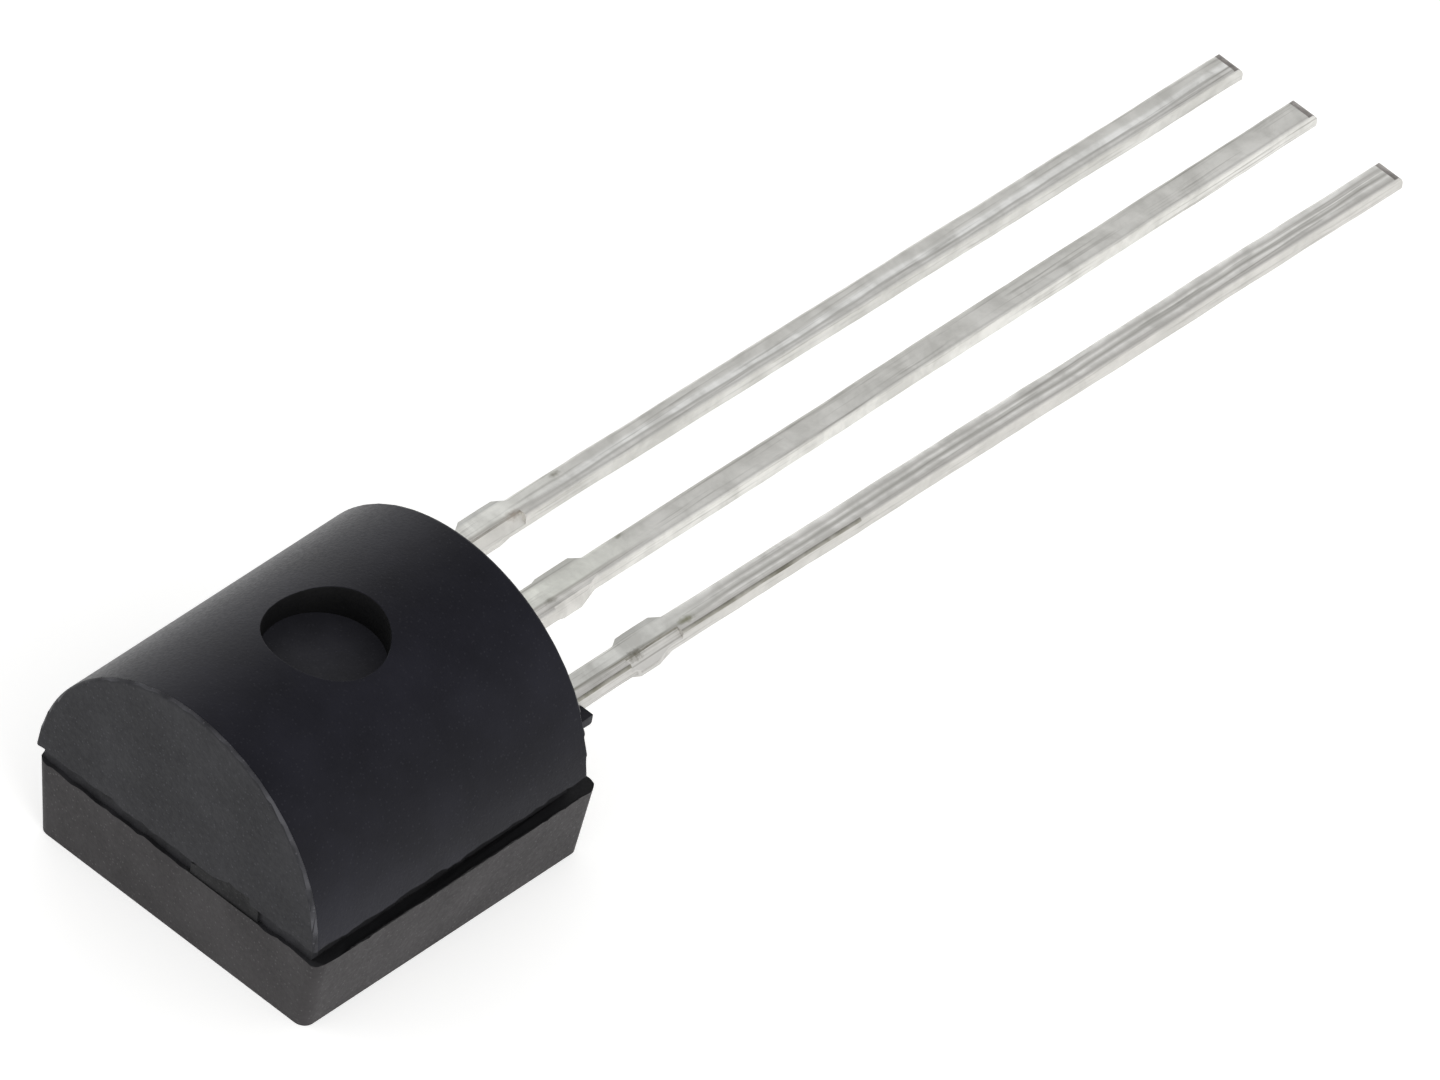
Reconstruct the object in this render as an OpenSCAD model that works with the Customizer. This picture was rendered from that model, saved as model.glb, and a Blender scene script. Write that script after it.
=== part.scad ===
// TO-92 transistor: a moulded D-shaped body with three flat leads.
// Flat side down on z = 0, dome up, leads along +Y, x = 0 on the middle lead.

/* [Lower half] */
// Width of the body across the flat side's half
body_w = 4.64; // [4.2:0.02:5.2]
// Length of the lower half, from the closed end to the lead end
body_l = 4.74; // [4.4:0.02:5.4]
// Height of the lower half, from the flat side to the groove
slab_h = 1.10; // [0.8:0.02:1.4]
// Draft of the lower half's two sides, in degrees
side_draft = 6.5; // [1:0.5:12]
// Draft of the lower half's two ends, in degrees
end_draft = 2; // [0.5:0.5:6]
// Radius of the lower half's four upright corners
corner_r = 0.15; // [0.08:0.01:0.4]

/* [Parting groove] */
// Height of the dark groove between the two halves
groove_h = 0.29; // [0.2:0.01:0.5]
// Depth of the groove, on the middle of two facing sides
groove_d = 0.12; // [0.1:0.01:0.18]
// How far the two moulds' mismatch moves the groove's core towards the emitter's side
core_shift_x = 0.05; // [0:0.01:0.08]
// How far the same mismatch moves the core towards the closed end
core_shift_y = 0.06; // [0:0.01:0.08]

/* [Domed half] */
// Radius of the dome
dome_r = 2.30; // [2.2:0.01:2.6]
// How far the dome's centre line lies below the parting plane
dome_drop = 0.11; // [0:0.01:0.2]
// Length of the domed half
dome_l = 4.61; // [4.4:0.01:5.4]
// How far the domed half stands out past the closed end of the lower half
dome_shift = 0.07; // [0:0.01:0.2]
// Rounding of the dome's end edges
dome_edge_r = 0.05; // [0.03:0.01:0.2]

/* [Ejector dimple] */
// Diameter of the dimple
dimple_d = 1.54; // [0.8:0.01:2]
// Depth of the dimple below the dome's crest
dimple_depth = 0.48; // [0.2:0.01:0.6]
// Place of the dimple across the body
dimple_x = 0.02; // [-0.3:0.01:0.3]
// Place of the dimple's centre from the closed end of the lower half
dimple_y = 2.16; // [1.5:0.01:3]

/* [Gate scar] */
// Width of the scar where the mould's gate was broken off
gate_w = 1.10; // [0.6:0.02:1.6]
// Place of the scar's centre across the closed end
gate_x = 0.75; // [-1:0.01:1]
// Height of the scar above the parting plane
gate_rise = 0.09; // [0.05:0.01:0.3]
// Depth of the scar below the dome's end face
gate_sink = 0.09; // [0.08:0.01:0.12]

/* [Resin flash] */
// Width of the flash that clings to the side of the base lead
flash_w = 0.22; // [0.1:0.01:0.3]
// Length of the flash out of the domed half
flash_l = 0.66; // [0.4:0.02:1.2]
// Thickness of the flash
flash_t = 0.14; // [0.08:0.01:0.2]

/* [Leads] */
// Distance between the middle lines of two leads
pitch = 1.27; // [1.2:0.01:1.4]
// Width of a lead
lead_w = 0.37; // [0.34:0.01:0.5]
// Thickness of the lead frame
lead_t = 0.25; // [0.2:0.01:0.4]
// Rounding of a lead's long edges
lead_edge_r = 0.05; // [0.04:0.01:0.09]
// Length of the leads past the lower half
lead_l = 14.55; // [12.5:0.05:15]
// How much shorter each lead was cut: emitter, collector, base
lead_trim = [0.10, 0, 0]; // [0:0.01:0.3]
// Sideways offset of each lead towards the base's side: emitter, collector, base
lead_off = [0, 0.01, 0.045]; // [-0.05:0.005:0.05]
// Sideways lean of each lead in degrees: emitter, collector, base
lead_lean = [0.9, 0.25, 0.75]; // [-2:0.05:2]
// Roll-over of the upper edge at the sheared tips
tip_roll = 0.14; // [0.06:0.01:0.18]

/* [Dam bar stubs] */
// Width of each lead from the body to its stub: emitter, collector, base
root_w = [0.40, 0.53, 0.40]; // [0.38:0.01:0.6]
// Distance from the lower half to the start of the stubs
stub_gap = 1.32; // [1.2:0.02:2]
// Length of a stub where it joins the lead
stub_l = 0.88; // [0.8:0.02:1.2]
// Length of a stub's slanted flanks
stub_flank = 0.16; // [0.05:0.01:0.25]
// Length of the longer flank on the base's side, away from the body
stub_taper = 0.42; // [0.2:0.01:0.5]
// How far the stubs stand out towards the emitter's side: emitter, collector, base
stub_out_low = [0.06, 0.08, 0.06]; // [0.04:0.01:0.18]
// How far the stubs stand out towards the base's side: emitter, collector, base
stub_out_high = [0.01, 0.08, 0.05]; // [0.01:0.01:0.18]
// Width of the slope that the shear left on the base's side: emitter, collector, base
shear_w = [0.12, 0.05, 0.16]; // [0.02:0.01:0.3]
// Depth of that slope at the stub's side
shear_t = 0.16; // [0.06:0.01:0.2]

/* [Lead frame inside] */
// Width of the pad that carries the die
pad_w = 1.40; // [1:0.02:1.8]
// Length of the pad that carries the die
pad_l = 1.40; // [1:0.02:1.6]
// Distance from the closed end of the lower half to the pad
pad_gap = 0.75; // [0.5:0.01:1]
// Gap between the die pad and the bond posts
frame_gap = 0.30; // [0.2:0.01:0.4]
// Width of a bond post
post_w = 0.98; // [0.8:0.02:1.1]
// Length of a bond post
post_l = 0.60; // [0.4:0.02:0.8]
// How far a post reaches out past the outer side of its lead
post_lug = 0.14; // [0:0.01:0.2]

/* [Die and bond wires] */
// Side of the square silicon die
die_w = 0.45; // [0.3:0.01:0.7]
// Thickness of the die
die_t = 0.20; // [0.12:0.01:0.3]
// Thickness of the layer that holds the die
attach_t = 0.03; // [0.02:0.005:0.05]
// How far the layer shows round the die
attach_rim = 0.05; // [0.02:0.01:0.1]
// Diameter of a bond wire
wire_d = 0.05; // [0.04:0.005:0.08]
// Sweep of a bond wire's arc in degrees
wire_sweep = 110; // [80:5:140]
// Distance from the die's middle line to a bond on the die
bond_x = 0.11; // [0.08:0.01:0.14]
// Diameter of a bond
bond_d = 0.13; // [0.11:0.01:0.15]
// Height of a bond
bond_t = 0.05; // [0.04:0.005:0.06]

/* [Hidden] */
$fn = 64;

// Surplus by which a cutter runs past the solid it cuts
over = 1;
// Depth to which the groove's core runs into each half
core_seat = 0.2;

front_y = -body_l / 2;                    // closed end of the lower half
back_y = body_l / 2;                      // lead end of the lower half
side_inset = slab_h * tan(side_draft);
end_inset = slab_h * tan(end_draft);
part_z = slab_h + groove_h;               // plane where the halves part
axis_z = part_z - dome_drop;              // centre line of the dome
crest_z = axis_z + dome_r;
dome_front_y = front_y - dome_shift;
dome_back_y = dome_front_y + dome_l;

lead_top_z = part_z + lead_t;
pad_y = front_y + pad_gap;
post_y = pad_y + pad_l + frame_gap;
stub_y = back_y + stub_gap;
EMITTER = 0;
COLLECTOR = 1;
BASE = 2;
side_of = [-1, 0, 1];                     // side of the body that each lead is on

die_y = pad_y + pad_l / 2;
die_z = lead_top_z + attach_t;
die_top_z = die_z + die_t;
post_bond_x = pitch - (post_w - post_lug - lead_w) / 2;
post_bond_y = post_y + post_l / 2;

// Cuts one slanted upright corner round; the corner's foot is at the origin
module corner_cutter() {
    edge = norm([side_inset, end_inset, slab_h]);
    turn_x = asin(end_inset / edge);
    turn_y = atan2(side_inset, slab_h);
    rotate([turn_x, turn_y, 0])
        translate([0, 0, -over])
            linear_extrude(edge + 2 * over)
                difference() {
                    translate([-corner_r, -over]) square([corner_r + over, corner_r + over]);
                    translate([-corner_r, corner_r]) circle(corner_r);
                }
}

// The lower half: drafted on all four sides, with round upright corners
module lower_half() {
    foot_w = body_w - 2 * side_inset;
    difference() {
        intersection() {
            translate([0, back_y, 0]) rotate([90, 0, 0]) linear_extrude(body_l)
                polygon([[-foot_w / 2, 0], [foot_w / 2, 0],
                         [body_w / 2, slab_h], [-body_w / 2, slab_h]]);
            translate([-body_w / 2, 0, 0]) rotate([90, 0, 90]) linear_extrude(body_w)
                polygon([[front_y + end_inset, 0], [back_y - end_inset, 0],
                         [back_y, slab_h], [front_y, slab_h]]);
        }
        for (mx = [0, 1], my = [0, 1])
            mirror([mx, 0, 0]) mirror([0, my, 0])
                translate([foot_w / 2, front_y + end_inset, 0]) corner_cutter();
    }
}

// The core that shows as a dark groove between the halves
module groove_core() {
    core_w = body_w - 2 * groove_d;
    core_l = dome_back_y - front_y - 2 * groove_d;
    translate([-core_w / 2 - core_shift_x, front_y + groove_d - core_shift_y, slab_h - core_seat])
        cube([core_w, core_l, groove_h + 2 * core_seat]);
}

// Half of a round bar with rounded end edges, lying along Y
module domed_half() {
    intersection() {
        translate([0, dome_front_y, axis_z]) rotate([-90, 0, 0]) rotate_extrude($fn = 180)
            union() {
                square([dome_r - dome_edge_r, dome_l]);
                translate([0, dome_edge_r]) square([dome_r, dome_l - 2 * dome_edge_r]);
                for (end = [dome_edge_r, dome_l - dome_edge_r])
                    translate([dome_r - dome_edge_r, end]) circle(dome_edge_r);
            }
        translate([-dome_r - over, dome_front_y - over, part_z])
            cube([2 * (dome_r + over), dome_l + 2 * over, dome_r + over]);
    }
}

// The broken-off gate from y inwards and z0 up; it broke higher towards the base's side
module gate_block(y, z0) {
    inner_y = front_y + groove_d + core_seat;
    mid_z = part_z - groove_h / 2;
    top_z = part_z + gate_rise;
    translate([gate_x, inner_y, 0]) rotate([90, 0, 0]) linear_extrude(inner_y - y)
        polygon([[-gate_w / 2, z0], [gate_w / 2, z0], [gate_w / 2, mid_z],
                 [gate_w * 0.42, top_z], [gate_w * 0.12, top_z], [-gate_w / 2, mid_z]]);
}

module flash() {
    root = 2 * groove_d;
    translate([pitch + lead_off[BASE], dome_back_y - root, part_z])
        cube([lead_w / 2 + flash_w, flash_l + root, flash_t]);
}

// Both halves as they leave the mould, before the lead frame takes its room
module outer_form() {
    difference() {
        union() {
            difference() {
                domed_half();
                gate_block(dome_front_y - over, part_z - over);
            }
            lower_half();
            groove_core();
            gate_block(dome_front_y + gate_sink, slab_h);
            flash();
        }
        translate([dimple_x, front_y + dimple_y, crest_z - dimple_depth])
            cylinder(d = dimple_d, h = dimple_depth + over);
    }
}

module moulded_body() {
    color([0.17, 0.17, 0.18])
        difference() {
            outer_form();
            emitter_lead();
            collector_lead();
            base_lead();
            silicon_die();
            die_attach();
            emitter_wire();
            base_wire();
        }
}

// Cross-section of a lead of width w, centred in x with its lower face on y = 0
module lead_section(w) {
    translate([0, lead_t / 2]) {
        square([w - 2 * lead_edge_r, lead_t], center = true);
        square([w, lead_t - 2 * lead_edge_r], center = true);
        for (sx = [-1, 1], sy = [-1, 1])
            translate([sx * (w / 2 - lead_edge_r), sy * (lead_t / 2 - lead_edge_r)])
                circle(lead_edge_r);
    }
}

// A straight length of lead along +Y, from the origin
module shank(w, length) {
    translate([0, length, 0]) rotate([90, 0, 0]) linear_extrude(length) lead_section(w);
}

// What the cutting of the dam bar leaves on both sides of a lead
module stub(i) {
    near = root_w[i] / 2 - lead_edge_r;
    far = lead_w / 2 - lead_edge_r;
    low = lead_w / 2 + stub_out_low[i];
    high = lead_w / 2 + stub_out_high[i];
    linear_extrude(lead_t)
        polygon([[-near, 0], [-low, stub_flank], [-low, stub_l - stub_flank], [-far, stub_l],
                 [far, stub_l], [high, stub_l - stub_taper], [high, stub_flank], [near, 0]]);
}

// The slope where the punch came down beside the lead; side is the stub's outer face
module shear_cutter(side, w) {
    translate([side, stub_l, 0]) rotate([90, 0, 0])
        linear_extrude(stub_l)
            polygon([[-w, lead_t], [0, lead_t - shear_t], [over, lead_t - shear_t],
                     [over, lead_t + over], [-w, lead_t + over]]);
}

// The shear rolls the upper edge of the tip down
module tip_cutter() {
    rotate([90, 0, 90]) translate([0, 0, -lead_w]) linear_extrude(2 * lead_w)
        difference() {
            translate([-tip_roll, lead_t - tip_roll]) square(tip_roll + over);
            translate([-tip_roll, lead_t - tip_roll]) circle(tip_roll);
        }
}

// One lead from inner_y to its tip; it leans from the middle of its stub on
module lead(i, inner_y) {
    hinge_y = stub_y + stub_l / 2;
    outer_l = lead_l - lead_trim[i] - stub_gap - stub_l / 2;
    translate([side_of[i] * pitch + lead_off[i], 0, part_z])
        difference() {
            union() {
                translate([0, inner_y, 0]) shank(root_w[i], stub_y + stub_flank - inner_y);
                translate([0, stub_y, 0]) shank(lead_w, stub_l / 2);
                translate([0, stub_y, 0]) stub(i);
                translate([0, hinge_y, 0]) rotate([0, 0, -lead_lean[i]])
                    difference() {
                        shank(lead_w, outer_l);
                        translate([0, outer_l, 0]) tip_cutter();
                    }
            }
            translate([0, stub_y, 0]) shear_cutter(lead_w / 2 + stub_out_high[i], shear_w[i]);
        }
}

// A bond post is wider towards the die pad than away from it
module outer_lead(i) {
    color([0.78, 0.78, 0.76]) {
        lead(i, post_y + post_l / 2);
        reach = post_w - post_lug - lead_w / 2;
        mirror([side_of[i] < 0 ? 1 : 0, 0, 0])
            translate([pitch - reach, post_y, part_z])
                cube([post_w, post_l, lead_t]);
    }
}

module emitter_lead() {
    outer_lead(EMITTER);
}

module base_lead() {
    outer_lead(BASE);
}

module collector_lead() {
    color([0.78, 0.78, 0.76]) {
        lead(COLLECTOR, pad_y + pad_l / 2);
        translate([-pad_w / 2, pad_y, part_z]) cube([pad_w, pad_l, lead_t]);
    }
}

module square_plate(w, t, z) {
    translate([-w / 2, die_y - w / 2, z]) cube([w, w, t]);
}

module silicon_die() {
    color([0.35, 0.36, 0.42]) square_plate(die_w, die_t, die_z);
}

module die_attach() {
    color([0.62, 0.62, 0.60]) square_plate(die_w + 2 * attach_rim, attach_t, lead_top_z);
}

// A wire in one arc from a bond on the die to a bond on a post
module bond_wire(side) {
    start = [side * bond_x, die_y, die_top_z];
    finish = [side * post_bond_x, post_bond_y, lead_top_z];
    lift = bond_t / 2;
    span = finish - start;
    chord = norm(span);
    flat = norm([span[0], span[1]]);
    arc_r = chord / 2 / sin(wire_sweep / 2);
    color([0.85, 0.68, 0.30]) {
        for (bond = [start, finish])
            translate(bond) cylinder(d = bond_d, h = bond_t);
        translate(start + [0, 0, lift])
            rotate([0, -atan2(span[2], flat), atan2(span[1], span[0])])
                translate([chord / 2, 0, -arc_r * cos(wire_sweep / 2)])
                    rotate([90, 0, 0]) rotate([0, 0, 90 - wire_sweep / 2])
                        rotate_extrude(angle = wire_sweep)
                            translate([arc_r, 0]) circle(d = wire_d, $fn = 24);
    }
}

module emitter_wire() {
    bond_wire(side_of[EMITTER]);
}

module base_wire() {
    bond_wire(side_of[BASE]);
}

moulded_body();
emitter_lead();
collector_lead();
base_lead();
silicon_die();
die_attach();
emitter_wire();
base_wire();
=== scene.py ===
import math
import bpy
from mathutils import Euler, Matrix, Vector


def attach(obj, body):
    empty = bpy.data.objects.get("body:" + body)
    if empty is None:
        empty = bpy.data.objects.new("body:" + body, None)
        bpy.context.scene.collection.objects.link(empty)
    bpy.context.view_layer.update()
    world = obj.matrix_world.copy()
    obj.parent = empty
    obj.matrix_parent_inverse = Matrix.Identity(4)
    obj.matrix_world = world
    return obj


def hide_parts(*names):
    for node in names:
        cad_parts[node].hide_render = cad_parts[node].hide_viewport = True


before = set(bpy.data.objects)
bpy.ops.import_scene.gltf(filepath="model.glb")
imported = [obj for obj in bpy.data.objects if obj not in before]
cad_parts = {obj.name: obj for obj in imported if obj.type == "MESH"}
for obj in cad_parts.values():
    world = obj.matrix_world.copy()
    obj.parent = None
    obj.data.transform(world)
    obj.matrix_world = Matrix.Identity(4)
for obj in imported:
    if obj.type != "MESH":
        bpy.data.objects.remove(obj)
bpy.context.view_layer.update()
mm = 0.001
scaleUp = Matrix.Scale(1000, 4)        # pieces are worked on in millimetres
scaleDown = Matrix.Scale(0.001, 4)
print("frame loaded")


def toLinear(hexColour):
    channels = [int(hexColour[i:i + 2], 16) / 255 for i in (1, 3, 5)]
    return tuple(c / 12.92 if c < 0.04045 else ((c + 0.055) / 1.055) ** 2.4 for c in channels) + (1.0,)


def addNode(tree, kind, values=None, links=None, **settings):
    node = tree.nodes.new(kind)
    for name, value in settings.items():
        setattr(node, name, value)
    for socket, value in (values or {}).items():
        node.inputs[socket].default_value = value
    for socket, source in (links or {}).items():
        tree.links.new(source, node.inputs[socket])
    return node


def newMaterial(name):
    material = bpy.data.materials.new(name)
    material.use_nodes = True
    material.node_tree.nodes.clear()
    return material, material.node_tree


# Epoxy moulding compound, transfer moulded in a spark-eroded tool.
# The fused-silica filler and the eroded skin make it a dark grey with a fine, even
# matt grain; seen along the surface it still picks up a broad soft sheen.
epoxy = {
    "dark": "#0f0f15", "light": "#16161d", "filler": "#2a2a30",
    "grainMm": 0.045,      # spark-eroded grain, drawn about twice as coarse so that it shows
    "cloudMm": 0.9,        # slow change of tone where the compound flowed
    "fillerMm": 0.066,     # silica grit at the surface, coarser than the real one so that it shows
    "fillerShow": 0.5,
    "roughLow": 0.34, "roughHigh": 0.50,
    "gloss": 0.2,          # the fine grain traps part of the gloss
    "reliefMm": 0.0030,
}

# The same compound wherever the tool or the breaking left it different, and painted light on it: lighter
# on the flat ends, the flat side, the dimple's floor and the closed end's rounded edge, darker as painted
# shade in the groove and on the dimple's wall
skins = {
    "domeEpoxySmooth": {
        "dark": "#111118", "light": "#1d1d25", "cloudMm": 1.6,
        "roughLow": 0.30, "roughHigh": 0.44, "gloss": 0.13},
    # The dome's flat ends: coarser grain, and a lighter tone as painted light
    "endEpoxyGrainAndPaintedLight": {
        "dark": "#242427", "light": "#2e2e31", "filler": "#444448",
        "grainMm": 0.06, "reliefMm": 0.005, "roughLow": 0.5, "roughHigh": 0.65},
    # The closed end's rounded edge: a lighter tone as a painted highlight
    "edgeEpoxyPaintedHighlight": {
        "dark": "#2c2c2f", "light": "#505054", "filler": "#606064",
        "gloss": 0.1, "grainMm": 0.05, "cloudMm": 0.4, "roughLow": 0.4, "roughHigh": 0.55},
    # The flat side: coarser grain, and a lighter tone as painted light
    "slabEpoxyGrainAndPaintedLight": {
        "dark": "#312f30", "light": "#3e3c3d", "filler": "#555354", "fillerShow": 0.7,
        "grainMm": 0.06, "reliefMm": 0.0055, "roughLow": 0.5, "roughHigh": 0.65},
    # Painted shade in the parting groove, near-black under the dome
    "grooveEpoxyShaded": {
        "dark": "#131315", "light": "#1d1d1f", "filler": "#262628", "fillerShow": 0.3,
        "roughLow": 0.6, "roughHigh": 0.75},
    # Lighter painted shade where the groove is shallow, at the closed end
    "grooveEpoxyLighterPaintedShade": {
        "dark": "#202022", "light": "#303033", "filler": "#39393c", "fillerShow": 0.3,
        "cloudMm": 0.3, "roughLow": 0.6, "roughHigh": 0.75},
    # Painted shade on the dimple's wall, near-black
    "dimpleWallPaintedShade": {
        "dark": "#09090a", "light": "#0e0e0f", "filler": "#1b1b1c", "fillerShow": 0.3,
        "roughLow": 0.5, "roughHigh": 0.7},
    # Painted light on the dimple's floor, lighter than the dome
    "dimpleFloorPaintedLight": {
        "dark": "#222227", "light": "#2d2d33", "filler": "#3c3c42", "roughLow": 0.5, "roughHigh": 0.65},
    "gateEpoxySnapped": {
        "dark": "#1c1c1d", "light": "#29292a", "filler": "#3c3b3d", "fillerShow": 0.6,
        "grainMm": 0.11, "reliefMm": 0.02, "roughLow": 0.6, "roughHigh": 0.8},
}


def mouldedEpoxy(name):
    look = dict(epoxy, **skins[name])
    material, tree = newMaterial(name)
    place = addNode(tree, "ShaderNodeTexCoord").outputs["Object"]
    grain = addNode(tree, "ShaderNodeTexNoise",
                    {"Scale": 1 / (look["grainMm"] * mm), "Detail": 3.0, "Roughness": 0.6},
                    {"Vector": place})
    cloud = addNode(tree, "ShaderNodeTexNoise",
                    {"Scale": 1 / (look["cloudMm"] * mm), "Detail": 4.0, "Roughness": 0.55},
                    {"Vector": place})
    grit = addNode(tree, "ShaderNodeTexVoronoi",
                   {"Scale": 1 / (look["fillerMm"] * mm), "Randomness": 1.0},
                   {"Vector": place})
    cloudy = addNode(tree, "ShaderNodeMapRange", {"From Min": 0.35, "From Max": 0.65},
                     {"Value": cloud.outputs["Fac"]})
    flow = addNode(tree, "ShaderNodeMix",
                   {6: toLinear(look["dark"]), 7: toLinear(look["light"])},
                   {0: cloudy.outputs["Result"]}, data_type="RGBA")
    specks = addNode(tree, "ShaderNodeMapRange",
                     {"From Min": 0.10, "From Max": 0.24, "To Min": look["fillerShow"], "To Max": 0.0},
                     {"Value": grit.outputs["Distance"]})
    gritty = addNode(tree, "ShaderNodeMix", {7: toLinear(look["filler"])},
                     {0: specks.outputs["Result"], 6: flow.outputs[2]}, data_type="RGBA")
    rough = addNode(tree, "ShaderNodeMapRange",
                    {"From Min": 0.3, "From Max": 0.7,
                     "To Min": look["roughLow"], "To Max": look["roughHigh"]},
                    {"Value": grain.outputs["Fac"]})
    relief = addNode(tree, "ShaderNodeBump", {"Strength": 0.8, "Distance": look["reliefMm"] * mm},
                     {"Height": grain.outputs["Fac"]})
    shader = addNode(tree, "ShaderNodeBsdfPrincipled",
                     {"IOR": 1.5, "Specular IOR Level": look["gloss"]},
                     {"Base Color": gritty.outputs[2], "Roughness": rough.outputs["Result"],
                      "Normal": relief.outputs["Normal"]})
    addNode(tree, "ShaderNodeOutputMaterial", links={"Surface": shader.outputs["BSDF"]})
    return material


# Matt tin, electroplated on a stamped copper-alloy lead frame.
# The plating is a soft silver grey; bands run along each lead, partly left by the punch and partly
# painted light, with painted highlights and painted shade; handling leaves dull blotches and thin dark
# scores in them.
tin = {
    "dull": "#c2c1bd", "stain": "#85827c",
    "dullShow": 0.55, "stainShow": 0.5,
    "streakMm": 0.035, "streakLengthMm": 2.4,
    "blotchMm": 0.42,
    "wanderMm": 0.05,          # how far the bands wander sideways
    "wanderPerMm": 0.6,        # and how often, along the lead
    "spotSquash": 0.4,         # a bruise is drawn out along the lead
    "spotFade": (1.2, 2.4),    # and fades from here to here, in radii
    "spotRaggedPerMm": 16,     # how finely its edge is frayed
    "roughLow": 0.45, "roughHigh": 0.62,
    "reliefMm": 0.005,
}

# Tone across each lead, from the emitter's side (-) to the base's side (+), in millimetres
# from its middle, on the bar and near the resin: partly the plating's own bands, partly painted light,
# the brightest stripes being painted highlights and the darkened long sides painted shade;
# centre is where that middle lies at the dam bar, in millimetres.
# Spots are where the dam bar's cutter bruised the plating: x, y, radius and tone.
# edgeShadeTone is the painted shade's tone on each lead's crease and upper long edge
bandsAndPaintedLight = {
    "emitter_lead": {
        "centre": (-1.27, 4.13), "leanDeg": 0.9, "seed": 3.1, "edgeShadeTone": "#9d9a94",
        "spots": ((-1.20, 4.46, 0.050, "#a39a91"), (-1.35, 5.32, 0.040, "#9d9b91")),
        "tones": ((-0.20, "#aeada8"), (-0.165, "#d6d5d1"), (-0.03, "#dcdbd7"), (0.01, "#f6f6f4"),
                  (0.06, "#f6f6f4"), (0.085, "#bfbeba"), (0.12, "#e2e1de"), (0.20, "#d6d5d1")),
        "rootTones": ((-0.20, "#d2d2ce"), (-0.15, "#efefea"), (0.02, "#eeeee9"),
                      (0.06, "#b9b6b0"), (0.09, "#d6d4cf"), (0.20, "#dad8d4"))},
    "collector_lead": {
        "centre": (0.01, 4.13), "leanDeg": 0.25, "seed": 7.4, "edgeShadeTone": "#a9a7a1",
        "spots": ((0.12, 3.74, 0.040, "#9a988f"), (-0.13, 5.16, 0.035, "#96958b")),
        "tones": ((-0.20, "#8f8e88"), (-0.175, "#c3c2bd"), (-0.09, "#dbdad6"),
                  (0.05, "#e0dfdb"), (0.20, "#e4e3df")),
        "rootTones": ((-0.20, "#cfcfc9"), (-0.15, "#e8e9e2"), (0.07, "#e8e9e2"),
                      (0.10, "#b5b3ac"), (0.14, "#e6e4e0"), (0.20, "#dddbd7"))},
    "base_lead": {
        "centre": (1.315, 4.13), "leanDeg": 0.75, "seed": 11.9, "edgeShadeTone": "#88867b",
        "spots": ((1.39, 3.86, 0.060, "#6e6b60"), (1.38, 4.74, 0.055, "#888870")),
        "tones": ((-0.20, "#d0cfcb"), (-0.13, "#eeedea"), (-0.07, "#c6c4c0"), (-0.03, "#f0efec"),
                  (0.03, "#b3b1ac"), (0.07, "#f2f1ee"), (0.13, "#cfcdc9"), (0.20, "#d5d3cf")),
        "rootTones": ((-0.20, "#cdcdc9"), (-0.15, "#e0e0dc"), (0.03, "#e0e0dc"),
                      (0.06, "#8f8d82"), (0.10, "#d9d7d3"), (0.20, "#d0cecb"))},
}
rootMm = (4.3, 5.6)      # from here to here the look near the resin gives way to that of the bar

# The ends were cut after plating, so the copper alloy shows there, tarnished and dark
shearedEnd = {
    "tones": ((-0.2, "#a5a19e"), (0.2, "#9a9693")),
    "dull": "#878380", "stain": "#625f5c", "dullShow": 0.9, "blotchMm": 0.15,
}

# Painted shade along the crease at the top of the punched slope and along the upper long edge: a dark tin
# tone, blotched and scored like the rest
paintedEdgeShade = {
    "dull": "#b4b2ac", "stain": "#57544b", "dullShow": 0.8, "blotchMm": 0.35,
    "streakMm": 0.06, "streakLengthMm": 0.7,
}


def banded(tree, across, tones):
    first, last = tones[0][0], tones[-1][0]
    spot = addNode(tree, "ShaderNodeMapRange", {"From Min": first * mm, "From Max": last * mm},
                   {"Value": across.outputs["Value"]})
    ramp = addNode(tree, "ShaderNodeValToRGB", {}, {"Fac": spot.outputs["Result"]})
    stops = ramp.color_ramp.elements
    for i, (at, tone) in enumerate(tones):
        stop = stops[i] if i < 2 else stops.new(1.0)      # a new ramp has two stops already
        stop.position = (at - first) / (last - first)
        stop.color = toLinear(tone)
    return ramp.outputs["Color"]


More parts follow.
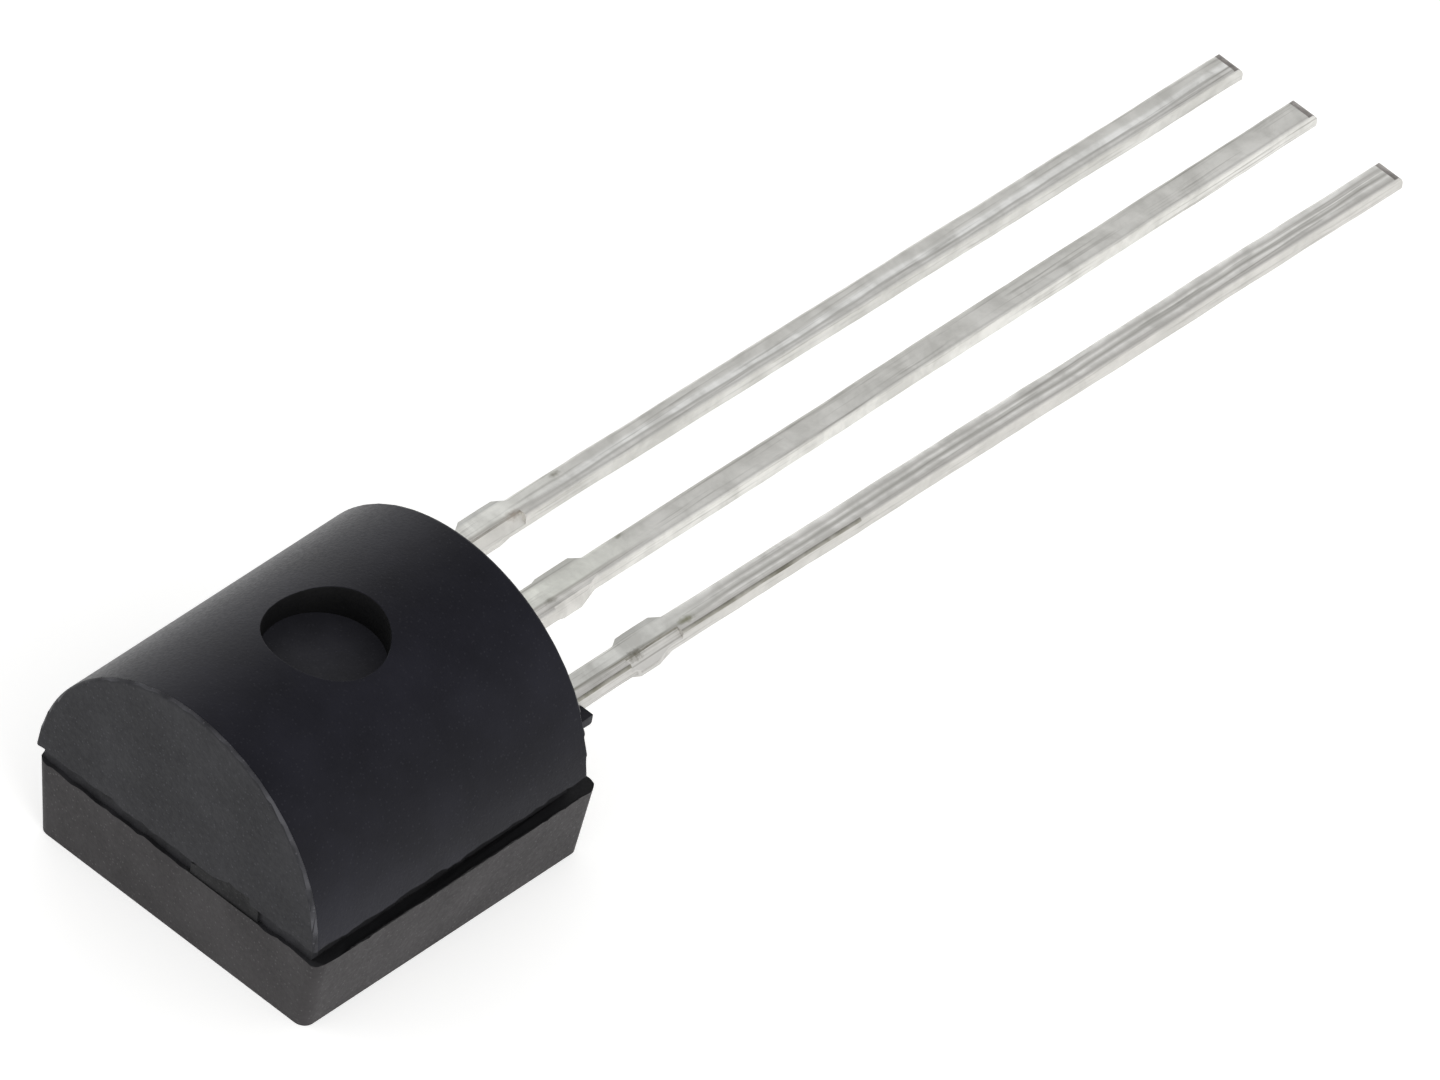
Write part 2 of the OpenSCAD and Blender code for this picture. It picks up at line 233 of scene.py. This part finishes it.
def platedTin(name, look, band):
    look = dict(tin, **look)
    material, tree = newMaterial(name)
    place = addNode(tree, "ShaderNodeTexCoord").outputs["Object"]
    lean = math.radians(band["leanDeg"])
    middle = band["centre"][0] * math.cos(lean) - band["centre"][1] * math.sin(lean)
    straight = addNode(tree, "ShaderNodeMapping",
                       {"Location": (-middle * mm, 0, 0), "Rotation": (0, 0, lean)}, {"Vector": place})
    wander = addNode(tree, "ShaderNodeTexNoise", {"Scale": look["wanderPerMm"] / mm, "Detail": 2.0},
                     {"Vector": place})
    shift = addNode(tree, "ShaderNodeMapRange",
                    {"To Min": -look["wanderMm"] * mm, "To Max": look["wanderMm"] * mm},
                    {"Value": wander.outputs["Fac"]})
    across = addNode(tree, "ShaderNodeSeparateXYZ", {}, {"Vector": straight.outputs["Vector"]})
    wandered = addNode(tree, "ShaderNodeMath", {},
                       {0: across.outputs["X"], 1: shift.outputs["Result"]}, operation="ADD")
    if "tones" in look:
        plated = banded(tree, wandered, look["tones"])
    else:
        root, bar = banded(tree, wandered, band["rootTones"]), banded(tree, wandered, band["tones"])
        past = addNode(tree, "ShaderNodeMapRange",
                       {"From Min": rootMm[0] * mm, "From Max": rootMm[1] * mm},
                       {"Value": across.outputs["Y"]})
        plated = addNode(tree, "ShaderNodeMix", {}, {0: past.outputs["Result"], 6: root, 7: bar},
                         data_type="RGBA").outputs[2]

    # Scores run along the lead, blotches lie anywhere
    finePerM, longPerM = 1 / (look["streakMm"] * mm), 1 / (look["streakLengthMm"] * mm)
    along = addNode(tree, "ShaderNodeMapping",
                    {"Location": (band["seed"], band["seed"] * 0.7, 0.0), "Rotation": (0, 0, lean),
                     "Scale": (finePerM, longPerM, finePerM)},
                    {"Vector": place})
    streak = addNode(tree, "ShaderNodeTexNoise", {"Scale": 1.0, "Detail": 3.0, "Roughness": 0.6},
                     {"Vector": along.outputs["Vector"]})
    blotch = addNode(tree, "ShaderNodeTexNoise",
                     {"Scale": 1 / (look["blotchMm"] * mm), "Detail": 5.0, "Roughness": 0.62,
                      "Distortion": 0.4},
                     {"Vector": place})
    dulled = addNode(tree, "ShaderNodeMapRange",
                     {"From Min": 0.38, "From Max": 0.64, "To Max": look["dullShow"]},
                     {"Value": blotch.outputs["Fac"]})
    lined = addNode(tree, "ShaderNodeMapRange",
                    {"From Min": 0.56, "From Max": 0.70, "To Max": look["stainShow"]},
                    {"Value": streak.outputs["Fac"]})
    dullTone = addNode(tree, "ShaderNodeMix", {7: toLinear(look["dull"])},
                       {0: dulled.outputs["Result"], 6: plated}, data_type="RGBA")
    surface = addNode(tree, "ShaderNodeMix", {7: toLinear(look["stain"])},
                      {0: lined.outputs["Result"], 6: dullTone.outputs[2]}, data_type="RGBA").outputs[2]

    # The cutter's bruises, drawn out along the lead, with a frayed edge
    squash = look["spotSquash"]
    fadeFrom, fadeTo = look["spotFade"]
    ragged = addNode(tree, "ShaderNodeTexNoise",
                     {"Scale": look["spotRaggedPerMm"] / mm, "Detail": 4.0, "Roughness": 0.7},
                     {"Vector": place})
    seenFlat = addNode(tree, "ShaderNodeMapping", {"Scale": (1, squash, 0)}, {"Vector": place})
    for x, y, radius, tone in band["spots"]:
        away = addNode(tree, "ShaderNodeVectorMath", {1: (x * mm, y * squash * mm, 0)},
                       {0: seenFlat.outputs["Vector"]}, operation="DISTANCE")
        uneven = addNode(tree, "ShaderNodeMath", {1: fadeTo * radius * mm},
                         {0: ragged.outputs["Fac"], 2: away.outputs["Value"]}, operation="MULTIPLY_ADD")
        spot = addNode(tree, "ShaderNodeMapRange",
                       {"From Min": fadeFrom * radius * mm, "From Max": fadeTo * radius * mm,
                        "To Min": 0.9, "To Max": 0.0},
                       {"Value": uneven.outputs["Value"]})
        surface = addNode(tree, "ShaderNodeMix", {7: toLinear(tone)},
                          {0: spot.outputs["Result"], 6: surface}, data_type="RGBA").outputs[2]

    rough = addNode(tree, "ShaderNodeMapRange",
                    {"From Min": 0.35, "From Max": 0.65,
                     "To Min": look["roughLow"], "To Max": look["roughHigh"]},
                    {"Value": blotch.outputs["Fac"]})
    height = addNode(tree, "ShaderNodeMath", {1: 0.6},
                     {0: streak.outputs["Fac"], 2: blotch.outputs["Fac"]}, operation="MULTIPLY_ADD")
    relief = addNode(tree, "ShaderNodeBump", {"Strength": 0.7, "Distance": look["reliefMm"] * mm},
                     {"Height": height.outputs["Value"]})
    shader = addNode(tree, "ShaderNodeBsdfPrincipled", {"Metallic": 1.0},
                     {"Base Color": surface, "Roughness": rough.outputs["Result"],
                      "Normal": relief.outputs["Normal"]})
    addNode(tree, "ShaderNodeOutputMaterial", links={"Surface": shader.outputs["BSDF"]})
    return material


# The three finishes sealed inside: polished silicon, silver-filled glue and drawn gold
inside = {
    "sawnSilicon": {
        "base": "#4a4c58", "other": "#5c5f6d", "sizeMm": 0.11,
        "metallic": 0.0, "rough": (0.08, 0.2), "ior": 3.4},
    "silverGlue": {
        "base": "#9b9a96", "other": "#bdbcb7", "sizeMm": 0.03,
        "metallic": 0.6, "rough": (0.45, 0.65), "ior": 1.5},
    "drawnGold": {
        "base": "#e6b95c", "other": "#f0cb78", "sizeMm": 0.02,
        "metallic": 1.0, "rough": (0.18, 0.3), "ior": 1.5},
}


def sealedFinish(name):
    look = inside[name]
    material, tree = newMaterial(name)
    place = addNode(tree, "ShaderNodeTexCoord").outputs["Object"]
    noise = addNode(tree, "ShaderNodeTexNoise", {"Scale": 1 / (look["sizeMm"] * mm), "Detail": 2.0},
                    {"Vector": place})
    tone = addNode(tree, "ShaderNodeMix", {6: toLinear(look["base"]), 7: toLinear(look["other"])},
                   {0: noise.outputs["Fac"]}, data_type="RGBA")
    rough = addNode(tree, "ShaderNodeMapRange",
                    {"To Min": look["rough"][0], "To Max": look["rough"][1]},
                    {"Value": noise.outputs["Fac"]})
    shader = addNode(tree, "ShaderNodeBsdfPrincipled",
                     {"Metallic": look["metallic"], "IOR": look["ior"]},
                     {"Base Color": tone.outputs[2], "Roughness": rough.outputs["Result"]})
    addNode(tree, "ShaderNodeOutputMaterial", links={"Surface": shader.outputs["BSDF"]})
    return material


print("materials made")


def startPiece(nodeName, pieceName, flatDeg):
    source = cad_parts[nodeName]
    piece = bpy.data.objects.new(pieceName, source.data.copy())
    bpy.context.scene.collection.objects.link(piece)
    piece.data.materials.clear()
    piece.data.transform(scaleUp)
    bpy.ops.object.select_all(action="DESELECT")
    piece.select_set(True)
    bpy.context.view_layer.objects.active = piece
    bpy.ops.object.mode_set(mode="EDIT")
    bpy.ops.mesh.select_mode(type="VERT")
    bpy.ops.mesh.select_all(action="SELECT")
    bpy.ops.mesh.remove_doubles(threshold=0.0005)
    bpy.ops.mesh.customdata_custom_splitnormals_clear()
    bpy.ops.mesh.dissolve_limited(angle_limit=math.radians(flatDeg))
    bpy.ops.mesh.select_all(action="DESELECT")
    bpy.ops.object.mode_set(mode="OBJECT")
    return piece


def applyModifier(piece, kind, **settings):
    modifier = piece.modifiers.new(kind.lower(), kind)
    for name, value in settings.items():
        setattr(modifier, name, value)
    bpy.ops.object.modifier_apply(modifier=modifier.name)


def finishPiece(piece, nodeName, smoothDeg):
    piece.data.transform(scaleDown)
    bpy.ops.object.select_all(action="DESELECT")
    piece.select_set(True)
    bpy.context.view_layer.objects.active = piece
    bpy.ops.object.shade_smooth_by_angle(angle=math.radians(smoothDeg))
    applyModifier(piece, "WEIGHTED_NORMAL", mode="FACE_AREA", weight=50, keep_sharp=True)
    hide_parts(nodeName)
    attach(piece, "root")


def pickFaces(piece, test):
    bpy.ops.object.mode_set(mode="OBJECT")
    for part in list(piece.data.vertices) + list(piece.data.edges):
        part.select = False
    for face in piece.data.polygons:
        face.select = test(face.center, face.normal)
    bpy.context.tool_settings.mesh_select_mode = (False, False, True)
    bpy.ops.object.mode_set(mode="EDIT")


def cutAcross(piece, axis, places, test):
    normal = [1.0 if i == axis else 0.0 for i in range(3)]
    for place in places:
        pickFaces(piece, test)
        bpy.ops.mesh.bisect(plane_co=[place * n for n in normal], plane_no=normal)
    bpy.ops.object.mode_set(mode="OBJECT")


def steps(first, last, count):
    return [first + (last - first) * (i + 0.5) / count for i in range(count)]


def roughen(piece, groupName, test, sizeMm, heightMm, direction):
    group = piece.vertex_groups.get(groupName) or piece.vertex_groups.new(name=groupName)
    group.add([v.index for v in piece.data.vertices if test(v.co)], 1.0, "REPLACE")
    clouds = bpy.data.textures.new(groupName + direction, "CLOUDS")
    clouds.noise_scale = sizeMm
    clouds.noise_depth = 2
    applyModifier(piece, "DISPLACE", texture=clouds, texture_coords="LOCAL", direction=direction,
                  strength=heightMm, mid_level=0.5, vertex_group=groupName)


# The resin case: crisp tool edges, a softened rim round the dimple, ragged parting edges
case = {
    "flatDeg": 1.0,                        # faces within this angle are one to start with
    "smoothDeg": 35,                       # edges sharper than this stay crisp
    "rimMm": 0.012,                        # how far the dimple's rim is worn back
    "rimAboveMm": 3.2,                     # the rim is higher up than this
    "grooveMm": (1.10, 1.39),              # the groove's floor and roof above the flat side
    "dimpleMm": (0.02, -0.21, 0.77),       # the dimple's middle and radius
    "domeMm": (2.30, 1.28, -2.39, 2.12),   # radius, height of its centre line, the two ends of its round
    "facetRadians": 0.045,                 # the widest facet that still looks round
    "domeCuts": 30,                        # cuts across the dome from end to end
    "facetSagMm": 0.012,                   # the solid's own facets lie this far under the round, at most
    "gateMm": (0.20, 1.30, 1.48),          # the scar's two sides and its top
    "gateFaceMm": -2.35,                   # how far out its face lies
    "gateCuts": (22, 8),                   # cuts from side to side and from bottom to top
    "flashMm": (1.51, 2.18, 2.83, 1.72),   # the flash's inner side, root, end and outer side
    "flashCuts": (9, 3),                   # cuts from root to end and from side to side
    "wallMm": 1.9,                         # all four walls stand further out than this
    "wallCutsMm": ((-2.25, 2.15), (-2.20, 2.20)),      # from where to where each pair is cut
    "raggedCuts": 44,                      # how finely the groove's two edges are broken up
    "frontMm": -2.2,                       # the groove is shallow and open to the light past here, so its painted shade is lighter
    "leadEndMm": 2.2,                      # past here only the flash faces that way
    # what broke or tore: the size of its grain, how far it stands in and out, and along which axis
    "gateBreak": (0.11, 0.045, "Y"),
    "gateOutline": (0.13, 0.06, "Z"),
    "partingEdges": (0.17, 0.11, "Z"),
    "flashEdge": (0.12, 0.06, "X"),
}
closeMm = 0.002      # a place this close to an edge of the solid lies on it
low, high = case["grooveMm"]
domeR, axisZ, startY, endY = case["domeMm"]
dimpleX, dimpleY, dimpleR = case["dimpleMm"]
gateLow, gateHigh, gateTop = case["gateMm"]
gateY = case["gateFaceMm"]
flashX, flashRoot, flashEnd, flashSide = case["flashMm"]


def fromAxis(place):
    return math.hypot(place.x, place.z - axisZ)


def fromDimple(place):
    return math.hypot(place.x - dimpleX, place.y - dimpleY)


def alongDome(place):
    return startY - closeMm < place.y < endY + closeMm


def onRim(place):
    atRim = place.z > case["rimAboveMm"] and abs(fromDimple(place) - dimpleR) < 0.006
    return atRim and abs(fromAxis(place) - domeR) < 0.006


def onDome(place, normal):
    above = place.z > high and startY < place.y < endY
    return above and abs(fromAxis(place) - domeR) < 0.03 and abs(normal.y) < 0.1


def upToGroove(place):
    return 0.01 < place.z < high + 0.02


def onSides(place, normal):
    return upToGroove(place) and abs(normal.y) < 0.5 and abs(place.x) > case["wallMm"]


def onEnds(place, normal):
    return upToGroove(place) and abs(normal.x) < 0.5 and abs(place.y) > case["wallMm"]


def onGate(place, normal):
    inScar = low < place.z < gateTop + 0.01 and gateLow < place.x < gateHigh and place.y < gateY + closeMm
    return inScar and (normal.y < -0.9) == (place.y > gateY - closeMm)


def onFlash(place, normal):
    return place.x > flashX and place.y > flashRoot and place.z > high - 0.01


def gateBreak(place):
    onFace = abs(place.y - gateY) < 0.004 and low + 0.03 < place.z
    return onFace and gateLow + 0.02 < place.x < gateHigh - 0.02


def gateOutline(place):
    behindFace = startY - 0.06 < place.y < gateY + 0.03 and high + 0.015 < place.z < gateTop + 0.02
    return behindFace and gateLow + 0.02 < place.x < gateHigh + 0.02


def partingEdges(place):
    nearGate = place.y < case["frontMm"] and gateLow - 0.06 < place.x < gateHigh + 0.06
    return min(abs(place.z - low), abs(place.z - high)) < 0.014 and not nearGate


def flashEdge(place):
    return place.x > flashX + 0.04 and place.y > flashRoot + 0.03 and place.z > high - 0.01


def skinOf(place, normal):
    inScar = gateLow - 0.01 < place.x < gateHigh + 0.01 and low < place.z < gateTop + 0.03
    if inScar and abs(place.y - gateY) < 0.035:
        return "gateEpoxySnapped"
    # The parting groove is painted dark as shade, less dark at the closed end
    if low - 0.005 < place.z < high + 0.005:
        return "grooveEpoxyLighterPaintedShade" if place.y < case["frontMm"] else "grooveEpoxyShaded"
    # The flat side is painted lighter, as painted light, over its coarser grain
    if place.z < low:
        return "slabEpoxyGrainAndPaintedLight"
    # The dimple's wall is painted near-black as shade, its floor painted lighter as light
    if fromDimple(place) < dimpleR + 0.005:
        return "dimpleWallPaintedShade" if abs(normal.z) < 0.6 else "dimpleFloorPaintedLight"
    # The closed end's rounded edge carries a painted highlight
    if place.y < startY and normal.y > -0.93:
        return "edgeEpoxyPaintedHighlight"
    # The flat ends are painted lighter, as painted light, over their coarser grain
    if normal.y < -0.9 or (normal.y > 0.9 and place.y < case["leadEndMm"]):
        return "endEpoxyGrainAndPaintedLight"
    return "domeEpoxySmooth"


resinCase = startPiece("moulded_body", "resinCase", case["flatDeg"])
for name in skins:
    resinCase.data.materials.append(mouldedEpoxy(name))

# The dimple's rim is worn back
rimSpots = [onRim(v.co) for v in resinCase.data.vertices]
for edge in resinCase.data.edges:
    edge.select = all(rimSpots[i] for i in edge.vertices)
bpy.context.tool_settings.mesh_select_mode = (False, True, False)
bpy.ops.object.mode_set(mode="EDIT")
bpy.ops.mesh.bevel(offset=case["rimMm"], segments=2, affect="EDGES")
bpy.ops.object.mode_set(mode="OBJECT")

# More lines between two far ones make the dome truly round
domeLines = sorted({round(math.atan2(v.co.x, v.co.z - axisZ), 3) for v in resinCase.data.vertices
                    if v.co.z > high + 0.005 and abs(v.co.y - startY) < closeMm})
for before, after in zip(domeLines, domeLines[1:]):
    count = round((after - before) / case["facetRadians"])
    for i in range(1, count):
        turn = before + (after - before) * i / count
        pickFaces(resinCase, onDome)
        bpy.ops.mesh.bisect(plane_co=(0, 0, axisZ), plane_no=(math.cos(turn), 0, -math.sin(turn)))
cutAcross(resinCase, 1, steps(startY, endY, case["domeCuts"]), onDome)
for vertex in resinCase.data.vertices:
    reach = fromAxis(vertex.co)
    inDimple = fromDimple(vertex.co) < dimpleR + case["rimMm"] * 0.6
    sunk = alongDome(vertex.co) and 0 < domeR - reach < case["facetSagMm"]
    if vertex.co.z > high + 0.005 and sunk and not inDimple:
        vertex.co.x *= domeR / reach
        vertex.co.z = axisZ + (vertex.co.z - axisZ) * domeR / reach

# Cuts for the ragged places
sideCuts, endCuts = case["wallCutsMm"]
cutAcross(resinCase, 1, steps(*sideCuts, case["raggedCuts"]), onSides)
cutAcross(resinCase, 0, steps(*endCuts, case["raggedCuts"]), onEnds)
cutAcross(resinCase, 0, steps(gateLow, gateHigh, case["gateCuts"][0]), onGate)
cutAcross(resinCase, 2, steps(low, gateTop, case["gateCuts"][1]), onGate)
cutAcross(resinCase, 1, steps(flashRoot, flashEnd, case["flashCuts"][0]), onFlash)
cutAcross(resinCase, 0, steps(flashX, flashSide, case["flashCuts"][1]), onFlash)

skinNames = list(skins)
for face in resinCase.data.polygons:
    face.material_index = skinNames.index(skinOf(face.center, face.normal))
roughen(resinCase, "gateBreak", gateBreak, *case["gateBreak"])
roughen(resinCase, "gateOutline", gateOutline, *case["gateOutline"])
roughen(resinCase, "partingEdges", partingEdges, *case["partingEdges"])
roughen(resinCase, "flashEdge", flashEdge, *case["flashEdge"])

onRound = [v.index for v in resinCase.data.vertices
           if v.co.z > high + 0.03 and alongDome(v.co) and abs(fromAxis(v.co) - domeR) < 0.003]
resinCase.vertex_groups.new(name="domeRound").add(onRound, 1.0, "REPLACE")
finishPiece(resinCase, "moulded_body", case["smoothDeg"])

# The dome takes its shading from a true tube, so that the sheen runs clean up to the dimple
bpy.ops.mesh.primitive_cylinder_add(vertices=360, radius=domeR * mm, depth=6 * mm,
                                    end_fill_type="NOTHING", location=(0, 0, axisZ * mm),
                                    rotation=(math.radians(90), 0, 0))
tube = bpy.context.object
bpy.ops.object.shade_smooth()
bpy.context.view_layer.objects.active = resinCase
applyModifier(resinCase, "DATA_TRANSFER", object=tube, use_loop_data=True,
              data_types_loops={"CUSTOM_NORMAL"}, loop_mapping="POLYINTERP_NEAREST",
              vertex_group="domeRound")
bpy.data.objects.remove(tube)
print("case made", len(resinCase.data.polygons))

# The leads: handling has left them a little wavy and dented
leads = {
    "flatDeg": 0.2, "smoothDeg": 35,
    "stubMm": (3.69, 4.57),    # where the dam bar's stubs start and end
    "creaseMm": 0.018,         # dark line along the top of the slope the punch left
    "barMm": (2.3, 16.7),      # painted shade as a dark line along the top of the slope the punch left
    "cuts": 64,
    "tipMm": 0.15,             # bare metal on the rolled-over cut end
    # the sway upwards, the sway sideways and the dents: length, height and direction
    "bends": ((1.9, 0.022, "Z"), (1.3, 0.022, "X"), (0.28, 0.010, "NORMAL")),
    # each lead's piece, where its crease lies and how far out its upper long edge is painted dark as
    # shade
    "pins": {
        "emitter_lead": ("emitterPin", -1.195, 0.0),
        "collector_lead": ("collectorPin", 0.0, 0.0),
        "base_lead": ("basePin", 1.39, 7.5)},
}
stubStart, stubEnd = leads["stubMm"]
barStart, barEnd = leads["barMm"]


def allFaces(place, normal):
    return True


def sloping(place, normal):
    return normal.x > 0.25 and normal.z > 0.5


def outsideResin(place):
    return barStart < place.y < barEnd


for nodeName, (pieceName, creaseX, darkTo) in leads["pins"].items():
    band = bandsAndPaintedLight[nodeName]
    pin = startPiece(nodeName, pieceName, leads["flatDeg"])
    edgeShadeLook = dict(paintedEdgeShade, tones=((-0.2, band["edgeShadeTone"]), (0.2, band["edgeShadeTone"])))
    pin.data.materials.append(platedTin("mattTin" + pieceName, {}, band))
    pin.data.materials.append(platedTin("shearedCopperAlloy" + pieceName, shearedEnd, band))
    pin.data.materials.append(platedTin("tinEdgePaintedShade" + pieceName, edgeShadeLook, band))
    cutAcross(pin, 1, steps(barStart, barEnd, leads["cuts"]), allFaces)
    creaseEnd = creaseX + leads["creaseMm"]
    cutAcross(pin, 0, [creaseEnd], sloping)
    for sizeMm, heightMm, direction in leads["bends"]:
        roughen(pin, "outside", outsideResin, sizeMm, heightMm, direction)
    tipY = max(v.co.y for v in pin.data.vertices)
    cutAcross(pin, 1, [tipY - leads["tipMm"]], allFaces)
    # Painted shade goes on the crease at the top of the slope and on the upper long edge up to darkTo
    for face in pin.data.polygons:
        onSlope = sloping(face.center, face.normal) and stubStart < face.center.y < stubEnd
        darkEdge = face.normal.x > 0.25 and face.normal.z > 0.25 and face.center.y < darkTo
        if face.center.y > tipY - leads["tipMm"] and abs(face.normal.x) < 0.6:
            face.material_index = 1
        elif onSlope and face.center.x < creaseEnd + 0.01 or not onSlope and darkEdge:
            face.material_index = 2
    finishPiece(pin, nodeName, leads["smoothDeg"])
    print(pieceName, "made", len(pin.data.polygons))

# What the resin hides keeps its solids and gets its own finishes
sealed = {
    "silicon_die": "sawnSilicon", "die_attach": "silverGlue",
    "emitter_wire": "drawnGold", "base_wire": "drawnGold",
}
for nodeName, finish in sealed.items():
    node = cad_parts[nodeName]
    node.data.materials.clear()
    node.data.materials.append(bpy.data.materials.get(finish) or sealedFinish(finish))
print("sealed pieces finished")

studio = {
    "floorM": 1.2, "floorColour": "#f2f2f1", "floorLift": 0.45,
    "horizon": 1.0, "overhead": 0.45,      # light of the room round the object and above it
    "aimMm": (0, 0, 2),                    # the lamps point at the middle of the case
    "lamps": {
        "leftLamp": {"placeMm": (-190, -150, 110), "sizeMm": 150, "watts": 0.06},
        "rightLamp": {"placeMm": (220, -60, 70), "sizeMm": 140, "watts": 0.24},
        "backLamp": {"placeMm": (-175, 190, 100), "sizeMm": 200, "watts": 0.05},
    },
    "camera": {
        "placeMm": (173.853, -213.498, 267.586), "turnDeg": (46.1452, -5.8628, 43.8695),
        "lensMm": 816.97, "sensorMm": 36, "clipM": 0.01,
    },
}

bpy.ops.object.select_all(action="DESELECT")
bpy.ops.mesh.primitive_plane_add(size=studio["floorM"], location=(0, 0, 0))
floor = bpy.context.object
floor.name = "studioFloor"
floorPaper, tree = newMaterial("mattWhitePaper")      # matt white background paper, seen as white
paths = addNode(tree, "ShaderNodeLightPath")
seen = addNode(tree, "ShaderNodeMath", {},
               {0: paths.outputs["Is Camera Ray"], 1: paths.outputs["Is Glossy Ray"]},
               operation="MAXIMUM")
seenToo = addNode(tree, "ShaderNodeMath", {},
                  {0: seen.outputs["Value"], 1: paths.outputs["Is Transmission Ray"]},
                  operation="MAXIMUM")
lift = addNode(tree, "ShaderNodeMath", {1: studio["floorLift"]}, {0: seenToo.outputs["Value"]},
               operation="MULTIPLY")
paper = addNode(tree, "ShaderNodeBsdfDiffuse", {"Color": toLinear(studio["floorColour"])})
glow = addNode(tree, "ShaderNodeEmission", {"Color": (1, 1, 1, 1)}, {"Strength": lift.outputs["Value"]})
both = addNode(tree, "ShaderNodeAddShader", {}, {0: paper.outputs["BSDF"], 1: glow.outputs["Emission"]})
addNode(tree, "ShaderNodeOutputMaterial", links={"Surface": both.outputs["Shader"]})
floor.data.materials.append(floorPaper)

# Light comes from all round, less from above, and the background is seen as white
world = bpy.data.worlds.new("studioWorld")
bpy.context.scene.world = world
world.use_nodes = True
tree = world.node_tree
tree.nodes.clear()
paths = addNode(tree, "ShaderNodeLightPath")
way = addNode(tree, "ShaderNodeTexCoord").outputs["Generated"]
height = addNode(tree, "ShaderNodeSeparateXYZ", {}, {"Vector": way}).outputs["Z"]
room = addNode(tree, "ShaderNodeMapRange",
               {"From Min": 0.25, "From Max": 0.95,
                "To Min": studio["horizon"], "To Max": studio["overhead"]},
               {"Value": height}, interpolation_type="SMOOTHSTEP")
strength = addNode(tree, "ShaderNodeMix", {3: 1.0},
                   {0: paths.outputs["Is Camera Ray"], 2: room.outputs["Result"]}, data_type="FLOAT")
sky = addNode(tree, "ShaderNodeBackground", {"Color": (1, 1, 1, 1)}, {"Strength": strength.outputs[0]})
addNode(tree, "ShaderNodeOutputWorld", links={"Surface": sky.outputs["Background"]})

for name, lamp in studio["lamps"].items():
    place = Vector(lamp["placeMm"]) * mm
    bpy.ops.object.light_add(type="AREA", location=place)
    light = bpy.context.object
    light.name = name
    light.data.shape = "SQUARE"
    light.data.size = lamp["sizeMm"] * mm
    light.data.energy = lamp["watts"]
    light.rotation_euler = (Vector(studio["aimMm"]) * mm - place).to_track_quat("-Z", "Y").to_euler()

view = studio["camera"]
bpy.ops.object.camera_add(location=Vector(view["placeMm"]) * mm,
                          rotation=Euler([math.radians(a) for a in view["turnDeg"]], "XYZ"))
camera = bpy.context.object
camera.name = "studioCamera"
camera.data.lens = view["lensMm"]
camera.data.sensor_width = view["sensorMm"]
camera.data.clip_start = view["clipM"]
bpy.context.scene.camera = camera
bpy.context.scene.view_settings.view_transform = "Standard"
print("studio set")

bpy.context.view_layer.update()
